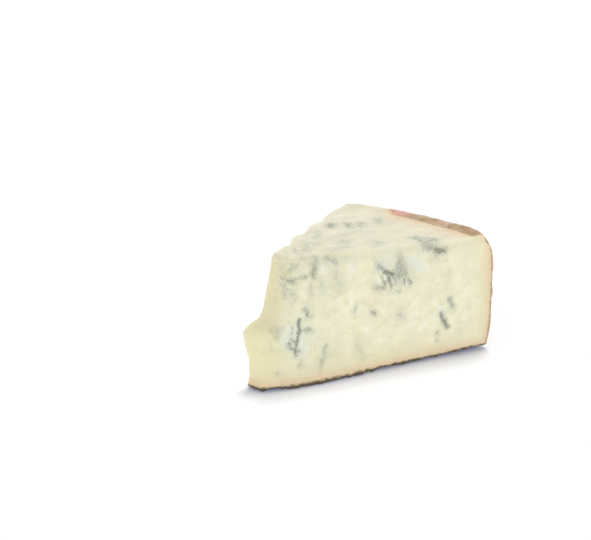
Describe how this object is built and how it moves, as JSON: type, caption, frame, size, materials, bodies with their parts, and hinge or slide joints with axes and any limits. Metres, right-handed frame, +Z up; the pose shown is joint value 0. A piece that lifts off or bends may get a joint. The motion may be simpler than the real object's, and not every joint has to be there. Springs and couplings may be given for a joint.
{
  "type": "cheese wedge",
  "caption": "Wedge of soft blue-veined cheese, lying on its rind with pale cut sides, a thin curved rind at the wide end and a broken nose.",
  "frame": {"origin": "on the ground, under the middle of the wedge's bounding box", "axes": "+X from the nose to the curved rind end, +Y toward the back cut, +Z up from the rind that it lies on to the cut top"},
  "size_m": [0.1484, 0.1202, 0.0689],
  "materials": {
    "blue_cheese": "cut cheese paste: pale cream, faintly moist, with grey-blue mould in its hollows and a thin tan and pinkish rind"
  },
  "bodies": {
    "root": {"cheese_wedge": "blue_cheese"}
  },
  "joints": []
}
